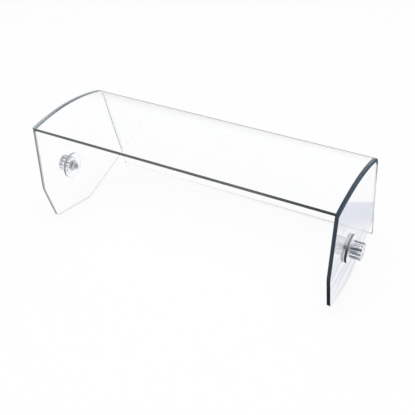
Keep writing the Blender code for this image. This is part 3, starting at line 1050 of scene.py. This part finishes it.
class GUARD_OT_canopy(bpy.types.Operator):
    """Model the bent canopy sheet"""

    bl_idname = "guard.canopy"
    bl_label = "Canopy"

    def execute(self, context):
        """Bend the sheet, round its edges and give its faces their finishes."""
        sizes = context.scene.guard_sizes
        profile = CanopyProfile(sizes)
        sheet = self.bent_sheet(profile, sizes)
        self.part_faces(sheet, profile)
        self.round_nose(sheet, profile, sizes)
        break_edges(sheet, sizes.sheet_edge)
        self.outline_ends(sheet, sizes)
        self.paint_faces(sheet, context.scene.guard_finishes)
        self.sort_faces(sheet, profile)
        smooth_sheet(sheet)
        seat(sheet, "guard", "clear_sheet", "canopy")
        return {"FINISHED"}

    def bent_sheet(self, profile, sizes):
        """Spin and extrude the front edge along the profile, and give the sheet its thickness."""
        pen = Pen("canopy_sheet", -profile.half_length, profile.front)
        extrude((2 * profile.half_length, 0.0, 0.0))
        pick_all()
        pen.arc(profile.arch_centre, profile.bend_angle + sizes.arch_start, ARCH_STEPS)
        pen.arc(profile.bend_centre, profile.wall_angle - profile.bend_angle, BEND_STEPS)
        pen.line(profile.wall_point(profile.bottom, 0.0))
        pick_all()
        bpy.ops.mesh.remove_doubles()
        face_outwards()
        leave_edit()
        settle(pen.thing)
        apply_modifier(pen.thing, "SOLIDIFY", thickness=sizes.sheet, offset=0.0, use_even_offset=True)
        return pen.thing

    def part_faces(self, sheet, profile):
        """Cut the faces along the joints with the end panels, and over the wall's foot."""
        edit(sheet)
        for name in SIDES:
            pick_all()
            bpy.ops.mesh.bisect(plane_co=(joint_start(name), 0.0, 0.0), plane_no=ALONG_X)
        pick_all()
        bpy.ops.mesh.bisect(plane_co=(0.0, 0.0, profile.bottom + NOSE_HEIGHT), plane_no=UPWARDS)
        leave_edit()

    def round_nose(self, sheet, profile, sizes):
        """Round the bottom edge of the rear wall."""
        edit(sheet)
        pick_vertices(sheet, lambda place: place.z < profile.bottom + sizes.sheet / 2)
        keep_lengthwise_edges(sheet, sizes.sheet_edge)
        bpy.ops.mesh.bevel(offset=sizes.wall_nose, segments=NOSE_STEPS, affect="EDGES")
        leave_edit()

    def outline_ends(self, sheet, sizes):
        """Inset the flat ends, which leaves their middles selected."""
        edit(sheet)
        pick_faces(sheet, lambda normal: abs(normal.x) > FLAT_LEAN)
        bpy.ops.mesh.inset(thickness=sizes.end_line)
        leave_edit()

    def paint_faces(self, sheet, look):
        """Clear faces, with the edges and joints in the tones of the place that they are in."""
        inner = look.canopy_inner
        outline = look.bend_outline
        # Painted shade: the front edge is painted darker towards its right end.
        front_fades = [PaintedLightFade(look.front_right_painted_shade, ALONG_X, CORNER_SHADE_FADE)]
        # Painted light: the left joint is painted lighter towards the front.
        joint_fades = [PaintedLightFade(look.left_end_front_painted_light, FORWARDS, JOINT_LIGHT_FADE)]
        # Painted light: the bottom edge is painted lighter towards its far left end.
        nose_fades = [PaintedLightFade(look.nose_far_painted_light, LEFTWARDS, NOSE_LIGHT_FADE)]
        # Painted light and shade: the wall's ends are painted white higher up, take the arch end's tone near
        # the bend, and are painted darker at the foot.
        wall_fades = [
            PaintedLightFade(look.wall_edge_high_painted_light, UPWARDS, WALL_LIGHT_FADE),
            PaintedLightFade(look.right_end_light, UPWARDS, BEND_FADE),
            PaintedLightFade(look.nose_dark, DOWNWARDS, FOOT_SHADE_FADE),
        ]
        finishes = {
            CanopyFace.CLEAR: clear_sheet("canopy_face", look.canopy_grazing, CANOPY_SPAN),
            CanopyFace.FRONT: sheet_edge("canopy_front_edge", "front", inner, front_fades, EDGE_GLOSS),
            # Painted light and shade: the left end is a lighter copy of the right end's tones.
            CanopyFace.LEFT_END: sheet_edge("canopy_left_end", "left_end", look.joint_inner),
            CanopyFace.RIGHT_END: sheet_edge("canopy_right_end", "right_end", inner),
            CanopyFace.WALL_END: sheet_edge("canopy_wall_end", "wall_edge", look.wall_inner, wall_fades),
            CanopyFace.LEFT_JOINT: sheet_edge("canopy_left_joint", "left_end", ALL_SHOWN, joint_fades),
            CanopyFace.RIGHT_JOINT: sheet_edge("canopy_right_joint", "joint", ALL_SHOWN),
            CanopyFace.NOSE: sheet_edge("canopy_nose", "nose", look.nose_inner, nose_fades),
            # Painted reflection: a darker grazing tint, and painted shade along the outline of the rear bend
            CanopyFace.BEND: clear_sheet("canopy_bend", look.bend_grazing_painted_reflection, CANOPY_SPAN, outline=outline),
        }
        paint(sheet, *(finishes[kind] for kind in CanopyFace))

    def sort_faces(self, sheet, profile):
        """Give each face the material of its kind."""
        joints = [joint_start(name) for name in SIDES]
        for face in sheet.data.polygons:
            on_left = face.center.x < 0
            lean = abs(face.normal.x)
            if lean > (EDGE_LEAN if on_left else END_LEAN):
                face.material_index = self.end_kind(face, profile, on_left)
            elif on_left and lean > EDGE_BREAK:
                face.material_index = CanopyFace.CLEAR
            else:
                face.material_index = self.face_kind(face, profile, joints)

    def end_kind(self, face, profile, on_left):
        """Which material a face of the canopy's ends takes."""
        if face.center.z > profile.wall_top.y:
            return CanopyFace.LEFT_END if on_left else CanopyFace.RIGHT_END
        in_middle = face.select and face.center.z > profile.bottom + NOSE_HEIGHT
        return CanopyFace.CLEAR if in_middle else CanopyFace.WALL_END

    def face_kind(self, face, profile, joints):
        """Which material a face along the sheet takes."""
        on_arch = face.center.z > profile.wall_top.y
        over_joint = not joints[0] < face.center.x < joints[1]
        low = face.center.z < profile.bottom + EDGE_REACH
        ahead = face.center.y < profile.front.x + EDGE_REACH
        if low and profile.wall_lies(face.normal) < NOSE_LEAN:
            return CanopyFace.NOSE
        if ahead and profile.faces_front(face.normal) > EDGE_LEAN:
            return CanopyFace.FRONT
        if on_arch and over_joint and face.normal.z < -JOINT_RISE:
            return CanopyFace.LEFT_JOINT if face.center.x < 0 else CanopyFace.RIGHT_JOINT
        if on_arch and face.center.y > profile.bend_start and face.normal.z > 0:
            return CanopyFace.BEND
        return CanopyFace.CLEAR


class GUARD_OT_end_panels(bpy.types.Operator):
    """Model the two shield-shaped end panels"""

    bl_idname = "guard.end_panels"
    bl_label = "End panels"

    def execute(self, context):
        """Model the left panel, copy it to the right, and sort the faces of both from their edges."""
        sizes = context.scene.guard_sizes
        look = context.scene.guard_finishes
        left = self.panel(CanopyProfile(sizes), sizes)
        left_low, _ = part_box("left_end_panel")
        right_low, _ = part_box("right_end_panel")
        right = moved_piece(left, "right_panel_sheet", right_low.x - left_low.x)
        # Painted highlight: the inner half of the left panel's edges is painted light.
        left_fades = [PaintedLightFade(look.left_edge_inner_painted_light, ALONG_X, INNER_LIGHT_FADE)]
        # Painted shade: the right panel's edges are painted darker towards the bottom.
        right_fades = [PaintedLightFade(look.right_edge_foot_painted_shade, DOWNWARDS, CHIN_SHADE_FADE)]
        # Painted light and shade: the left panel's edges are a lighter copy of the right panel's.
        self.finish_faces(left, "left", left_fades, EDGE_BREAK)
        self.finish_faces(right, "right", right_fades, FACE_LEAN)
        return {"FINISHED"}

    def panel(self, profile, sizes):
        """The left panel: draw the outline, give it its thickness, bore it and break its edges."""
        low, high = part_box("left_end_panel")
        thickness = high.x - low.x
        pen = Pen("left_panel_sheet", low.x, self.start(profile, sizes))
        self.draw_outline(pen, profile, sizes)
        extrude((thickness, 0.0, 0.0))
        face_outwards()
        leave_edit()
        panel = pen.thing
        settle(panel)
        start = low.x - thickness
        end = high.x + thickness
        cutter = x_cylinder("hole", start, end, sizes.hole_radius, knob_axis("left"), ROUND_STEPS)
        cut_away(panel, cutter)
        break_edges(panel, sizes.sheet_edge)
        return panel

    def start(self, profile, sizes):
        """Front end of the panel's arched top."""
        radius = sizes.arch_radius - sizes.sheet / 2 - sizes.glue_gap
        return profile.arch_centre + radius * outward(self.first_angle(profile, radius))

    def first_angle(self, profile, radius):
        """Angle of the arch at which the panel's top starts."""
        return math.asin((profile.front.x - profile.arch_centre.x) / radius)

    def draw_outline(self, pen, profile, sizes):
        """Draw the shield outline of a panel under the canopy sheet."""
        offset = -sizes.sheet / 2 - sizes.glue_gap
        table = profile.front.y - sizes.front_height
        first = self.first_angle(profile, sizes.arch_radius + offset)
        rear = profile.wall_point(table + sizes.joint_height, offset)
        heel = Vector((profile.front.x + sizes.heel_set_back, table))
        chin = Vector((profile.front.x + sizes.chin_set_back, table + sizes.chin_height))
        knee = Vector((profile.front.x, profile.front.y - sizes.knee_drop))
        top = pen.here
        pen.arc(profile.arch_centre, profile.bend_angle - first, ARCH_STEPS)
        pen.arc(profile.bend_centre, profile.wall_angle - profile.bend_angle, BEND_STEPS)
        pen.line(rear)
        pen.rounded(heel, chin, sizes.heel_radius, CORNER_STEPS)
        pen.rounded(chin, knee, sizes.chin_radius, CORNER_STEPS)
        pen.rounded(knee, top, sizes.knee_radius, CORNER_STEPS)
        pen.close()

    def finish_faces(self, panel, name, fades, lean):
        """Clear faces, and the tones of the side for free and bonded edges."""
        look = bpy.context.scene.guard_finishes
        # Clear faces whose grazing tint carries a band and streaks of painted reflection
        faces = clear_sheet("panel_face", look.panel_grazing, PANEL_SPAN, panel_painted_reflection)
        edges = sheet_edge(name + "_panel_edge", name + "_edge", look.panel_inner, fades)
        paint(panel, faces, edges, sheet_edge(name + "_panel_joint", name + "_end", look.joint_inner))
        for face in panel.data.polygons:
            if abs(face.normal.x) > lean:
                face.material_index = PanelFace.CLEAR
            elif face.normal.z > JOINT_RISE:
                face.material_index = PanelFace.BONDED_EDGE
            else:
                face.material_index = PanelFace.FREE_EDGE
        smooth_sheet(panel)
        seat(panel, "guard", "clear_sheet", name + "_end_panel")


class GUARD_OT_discs(bpy.types.Operator):
    """Model the two clear discs"""

    bl_idname = "guard.discs"
    bl_label = "Discs"

    def execute(self, context):
        """Bore a cylinder, round its rim and copy it to the other side."""
        sizes = context.scene.guard_sizes
        look = context.scene.guard_finishes
        low, high, radius = round_node("right_disc")
        left_low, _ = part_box("left_disc")
        axis = knob_axis("right")
        disc = x_cylinder("right_disc_plate", low.x, high.x, radius, axis, ROUND_STEPS)
        self.bore(disc, radius - sizes.bore_radius)
        break_edges(disc, sizes.disc_edge, RIM_STEPS)
        # Painted light: the top of each disc's rim is painted lighter than its lower part.
        fades = [PaintedLightFade(look.rim_top_painted_light, UPWARDS, RIM_LIGHT_FADE)]
        paint_moulding(disc, axis, radius, sheet_edge("disc_rim", "rim", look.rim_inner, fades))
        smooth_moulding(disc)
        twin = moved_piece(disc, "left_disc_plate", left_low.x - low.x)
        # Painted light: the left disc's rim takes a lighter copy of the right rim's tones.
        left_rim = sheet_edge("left_disc_rim", "left_rim", look.rim_inner, fades)
        twin.data.materials[MouldingFace.OUTSIDE] = left_rim
        seat_pair(disc, twin, "guard", "clear_moulding", "disc")
        return {"FINISHED"}

    def bore(self, disc, inset):
        """Inset both ends and join the inner rims into a bore."""
        edit(disc)
        pick_faces(disc, lambda normal: abs(normal.x) > FACE_LEAN)
        bpy.ops.mesh.inset(thickness=inset, use_individual=True)
        bpy.ops.mesh.bridge_edge_loops()
        face_outwards()
        leave_edit()


class GUARD_OT_knobs(bpy.types.Operator):
    """Model the two fluted knobs and their caps"""

    bl_idname = "guard.knobs"
    bl_label = "Knobs"

    def execute(self, context):
        """Flute, bore and round one knob and dish its cap, then mirror both to the other side."""
        sizes = context.scene.guard_sizes
        look = context.scene.guard_finishes
        knob = self.knob(sizes, look)
        cap = self.cap(sizes, look)
        left_knob = mirrored_piece(knob, "left_fluted_knob")
        # Painted light: the left knob's flutes are a lighter copy of the right knob's tint.
        left_flutes = self.flutes("left_knob_flutes", look.left_knob_lit_grazing, sizes)
        left_knob.data.materials[MouldingFace.OUTSIDE] = left_flutes
        seat_pair(knob, left_knob, "knob", "clear_moulding", "knob")
        seat_pair(cap, mirrored_piece(cap, "left_cap"), "knob", "clear_moulding", "knob_cap")
        return {"FINISHED"}

    def flutes(self, name, grazing, sizes):
        """Finish of a knob's flutes, with painted shade that deepens towards the bottom of each groove."""
        _, _, radius = round_node("right_knob")
        groove = radius - sizes.flute_depth
        radii = [groove + sizes.flute_depth * share for share in GROOVE_SPAN]
        return clear_moulding(name, grazing, MOULDING_SPAN, (knob_axis("right"), radii))

    def knob(self, sizes, look):
        """The right knob: a cylinder whose lines are drawn in to flutes, bored for insert and cap."""
        low, high, radius = round_node("right_knob")
        cap_low, _, cap_radius = round_node("right_knob_cap")
        axis = knob_axis("right")
        steps = sizes.flutes * FLUTE_STEPS
        knob = x_cylinder("right_fluted_knob", low.x, high.x, radius, axis, steps)
        edit(knob)
        for step in range(1, FLUTE_STEPS // 2 + 1):
            twins = (step, FLUTE_STEPS - step)
            pick_vertices(knob, lambda place: self.flute_step(place, axis, steps) in twins)
            draw_in(1 - self.flute_drop(step, sizes) / radius, axis)
        leave_edit()
        bore = x_cylinder("bore", low.x - radius, high.x + radius, sizes.insert_bore, axis, ROUND_STEPS)
        cut_away(knob, bore)
        recess_floor = cap_low.x - sizes.glue_gap
        recess_radius = cap_radius + sizes.glue_gap
        recess = x_cylinder("recess", recess_floor, high.x + radius, recess_radius, axis, ROUND_STEPS)
        cut_away(knob, recess)
        break_edges(knob, sizes.knob_edge, RIM_STEPS)
        paint_moulding(knob, axis, radius, self.flutes("knob_flutes", look.moulding_grazing, sizes))
        smooth_moulding(knob)
        return knob

    def flute_step(self, place, axis, steps):
        """Which step of its flute a vertex stands on."""
        turn = math.atan2(place.z - axis.z, place.y - axis.y) / FULL_TURN
        return round(turn * steps) % FLUTE_STEPS

    def flute_drop(self, step, sizes):
        """Depth of a flute at one step round it."""
        return sizes.flute_depth * (1 - math.cos(FULL_TURN * step / FLUTE_STEPS)) / 2

    def cap(self, sizes, look):
        """The right knob's cap, with a shallow dish."""
        low, high, radius = round_node("right_knob_cap")
        axis = knob_axis("right")
        cap = x_cylinder("right_cap", low.x, high.x, radius, axis, ROUND_STEPS)
        edit(cap)
        pick_faces(cap, lambda normal: normal.x > FACE_LEAN)
        bpy.ops.mesh.inset(thickness=radius * DISH_RIM)
        bpy.ops.mesh.inset(thickness=radius * DISH_RIM)
        bpy.ops.transform.translate(value=(-sizes.cap_dish, 0.0, 0.0))
        leave_edit()
        break_edges(cap, sizes.small_edge)
        side = clear_moulding("cap_side", look.moulding_grazing, MOULDING_SPAN)
        paint_moulding(cap, axis, radius, side)
        smooth_moulding(cap)
        return cap


class GUARD_OT_studs(bpy.types.Operator):
    """Model the two threaded studs"""

    bl_idname = "guard.studs"
    bl_label = "Studs"

    def execute(self, context):
        """Thread one stud and turn a copy of it round to the other side."""
        stud = self.stud(context.scene.guard_sizes)
        twin = twin_piece(stud, "left_threaded_stud")
        middle = (0.0, knob_axis("right").y, 0.0)
        bpy.ops.transform.rotate(value=HALF_TURN, orient_axis="Z", center_override=middle)
        settle(twin)
        seat_pair(stud, twin, "knob", "stainless", "stud")
        return {"FINISHED"}

    def stud(self, sizes):
        """The right stud: a cylinder whose rings are drawn in to a thread, a groove and two chamfers."""
        low, high, radius = round_node("right_stud")
        ring_low, ring_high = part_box("right_retaining_ring")
        axis = knob_axis("right")
        length = high.x - low.x
        stud = x_cylinder("right_threaded_stud", low.x, high.x, radius, axis, THREAD_STEPS)
        rings = round(length / sizes.thread_pitch * RINGS_PER_TURN)
        half_ring = length / rings / 2
        edit(stud)
        pick_all()
        keep_lengthwise_edges(stud, radius)
        bpy.ops.mesh.subdivide(number_cuts=rings - 1)

        def in_groove(place):
            """Whether a vertex stands in the ring's groove."""
            return ring_low.x - sizes.glue_gap < place.x < ring_high.x + sizes.glue_gap

        def at_end(place):
            """Whether a vertex stands on one of the stud's ends."""
            return not low.x + half_ring < place.x < high.x - half_ring

        def on_thread(place, level):
            """Whether a vertex stands on a level of the thread."""
            turns = (place.x - low.x) / sizes.thread_pitch
            return not (in_groove(place) or at_end(place)) and self.thread_level(place, axis, turns) == level

        for level in range(1, THREAD_LEVELS + 1):
            pick_vertices(stud, lambda place: on_thread(place, level))
            draw_in(1 - sizes.thread_depth * level / THREAD_LEVELS / radius, axis)
        pick_vertices(stud, in_groove)
        draw_in(1 - sizes.groove_depth / radius, axis)
        pick_vertices(stud, at_end)
        draw_in(1 - sizes.stud_chamfer / radius, axis)
        leave_edit()
        paint(stud, turned_steel())
        smooth_sheet(stud)
        return stud

    def thread_level(self, place, axis, turns):
        """How many levels a vertex stands below the thread's crest."""
        turn = math.atan2(place.z - axis.z, place.y - axis.y) / FULL_TURN
        step = round((turn + turns) * THREAD_STEPS) % THREAD_STEPS
        return THREAD_LEVELS - abs(step - THREAD_LEVELS)


class GUARD_OT_inserts(bpy.types.Operator):
    """Model the knobs' inserts and the retaining rings"""

    bl_idname = "guard.inserts"
    bl_label = "Inserts and rings"

    def execute(self, context):
        """Round the edges of one of each and mirror it to the other side."""
        sizes = context.scene.guard_sizes
        steel = turned_steel()
        rounded_pair("knob_insert", "insert_sleeve", "knob", sizes.small_edge, steel, "stainless")
        rounded_pair("retaining_ring", "snap_ring", "ring", sizes.small_edge, steel, "stainless")
        return {"FINISHED"}


class GUARD_OT_bushes(bpy.types.Operator):
    """Model the bushes and washers"""

    bl_idname = "guard.bushes"
    bl_label = "Bushes and washers"

    def execute(self, context):
        """Round the edges of one of each and mirror it to the other side."""
        sizes = context.scene.guard_sizes
        nylon = natural_nylon()
        rounded_pair("bush", "flanged_bush", "guard", sizes.small_edge, nylon, "nylon")
        rounded_pair("washer", "thin_washer", "guard", sizes.washer_edge, nylon, "nylon")
        return {"FINISHED"}


# Stage


def floor_material(stage):
    """Pale floor that glows enough to be white and keeps a soft shadow."""
    material = bpy.data.materials.new("pale_floor")
    material.use_nodes = True
    floor = Shading(material.node_tree)
    floor.nodes.remove(floor.nodes["Principled BSDF"])
    matt_colour = Vector(stage.floor_colour) * (1.0 - stage.floor_glow)
    glow = floor.node("ShaderNodeEmission", Color=opaque(stage.floor_colour), Strength=stage.floor_glow)
    matt = floor.node("ShaderNodeBsdfDiffuse", Color=opaque(matt_colour))
    both = floor.node("ShaderNodeAddShader")
    floor.link(glow.outputs["Emission"], both.inputs[0])
    floor.link(matt.outputs["BSDF"], both.inputs[1])
    floor.link(both.outputs["Shader"], floor.nodes["Material Output"].inputs["Surface"])
    return material


def white_room(stage):
    """A white room, dark above and behind the camera, that lights matt surfaces at a plain level."""
    world = bpy.data.worlds.new("white_room")
    world.use_nodes = True
    room = Shading(world.node_tree)

    def background(strength):
        """A white background of one strength."""
        return room.node("ShaderNodeBackground", Color=opaque(WHITE), Strength=strength)

    path = room.node("ShaderNodeLightPath").outputs
    where = room.node("ShaderNodeTexCoord")
    parts = room.node("ShaderNodeSeparateXYZ")
    room.link(where.outputs["Generated"], parts.inputs["Vector"])
    overhead = room.spread(parts.outputs["Z"], DARK_RISE)
    behind = room.spread(parts.outputs["Y"], DARK_BACK)
    tone = room.tone_mix(room.joined("MULTIPLY", overhead, behind), stage.room_dark)
    tone.inputs["A"].default_value = opaque(WHITE)
    studio = background(FULL_STRENGTH)
    room.link(tone.outputs["Result"], studio.inputs["Color"])
    plain = background(stage.room_light)
    seen = background(FULL_STRENGTH)
    through = room.joined("MAXIMUM", path["Is Glossy Ray"], path["Is Transmission Ray"])
    lit = room.mixed(through, plain.outputs["Background"], studio.outputs["Background"])
    shown = room.mixed(path["Is Camera Ray"], lit, seen.outputs["Background"])
    room.link(shown, room.nodes["World Output"].inputs["Surface"])
    bpy.context.scene.world = world


class GUARD_OT_stage(bpy.types.Operator):
    """Set up the floor, the light and the camera"""

    bl_idname = "guard.stage"
    bl_label = "Stage"

    def execute(self, context):
        """Make a pale floor, a white room, one soft lamp and the camera."""
        stage = context.scene.guard_stage
        self.lay_floor(stage)
        white_room(stage)
        self.hang_lamp(stage)
        bpy.ops.object.camera_add(location=stage.camera_place, rotation=stage.camera_turn)
        camera = context.object
        camera.name = "camera"
        camera.data.lens = stage.lens
        context.scene.camera = camera
        context.scene.view_settings.view_transform = "Standard"
        return {"FINISHED"}

    def lay_floor(self, stage):
        """A plain pale floor just under the guard."""
        bpy.ops.object.select_all(action="DESELECT")
        bpy.ops.mesh.primitive_plane_add(size=stage.floor_size, location=(0.0, 0.0, -FLOOR_DROP))
        floor = bpy.context.object
        floor.name = "floor"
        settle(floor)
        paint(floor, floor_material(stage))

    def hang_lamp(self, stage):
        """A large soft lamp over the guard's front, aimed at its middle."""
        bpy.ops.object.light_add(type="AREA", location=stage.lamp_place)
        lamp = bpy.context.object
        lamp.name = "soft_lamp"
        lamp.data.size = stage.lamp_size
        lamp.data.energy = stage.lamp_power
        lamp.rotation_euler = (-Vector(stage.lamp_place)).to_track_quat("-Z", "Y").to_euler()


class GUARD_PT_panel(bpy.types.Panel):
    """Sidebar panel with the guard's pieces and values"""

    bl_idname = "GUARD_PT_panel"
    bl_label = "Sneeze Guard"
    bl_space_type = "VIEW_3D"
    bl_region_type = "UI"
    bl_category = "Sneeze Guard"

    def draw(self, context):
        """List the operators, then the values."""
        column = self.layout.column()
        for operator in OPERATORS:
            column.operator(operator.bl_idname)
        for group in (context.scene.guard_sizes, context.scene.guard_finishes, context.scene.guard_stage):
            box = self.layout.box()
            for name in group.__annotations__:
                box.prop(group, name)


OPERATORS = (
    GUARD_OT_canopy,
    GUARD_OT_end_panels,
    GUARD_OT_discs,
    GUARD_OT_knobs,
    GUARD_OT_studs,
    GUARD_OT_inserts,
    GUARD_OT_bushes,
    GUARD_OT_stage,
)
GROUPS = {"guard_sizes": GuardSizes, "guard_finishes": GuardFinishes, "guard_stage": GuardStage}


def register():
    """Register the classes and hang the values on the scene."""
    for kind in (*GROUPS.values(), *OPERATORS, GUARD_PT_panel):
        bpy.utils.register_class(kind)
    for name, kind in GROUPS.items():
        setattr(bpy.types.Scene, name, bpy.props.PointerProperty(type=kind))


def unregister():
    """Undo what register does."""
    for name in GROUPS:
        delattr(bpy.types.Scene, name)
    for kind in (GUARD_PT_panel, *reversed(OPERATORS), *reversed(GROUPS.values())):
        bpy.utils.unregister_class(kind)


def main():
    """Register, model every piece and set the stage."""
    register()
    bpy.ops.guard.canopy()
    bpy.ops.guard.end_panels()
    bpy.ops.guard.discs()
    bpy.ops.guard.knobs()
    bpy.ops.guard.studs()
    bpy.ops.guard.inserts()
    bpy.ops.guard.bushes()
    bpy.ops.guard.stage()


if __name__ == "__main__":
    main()
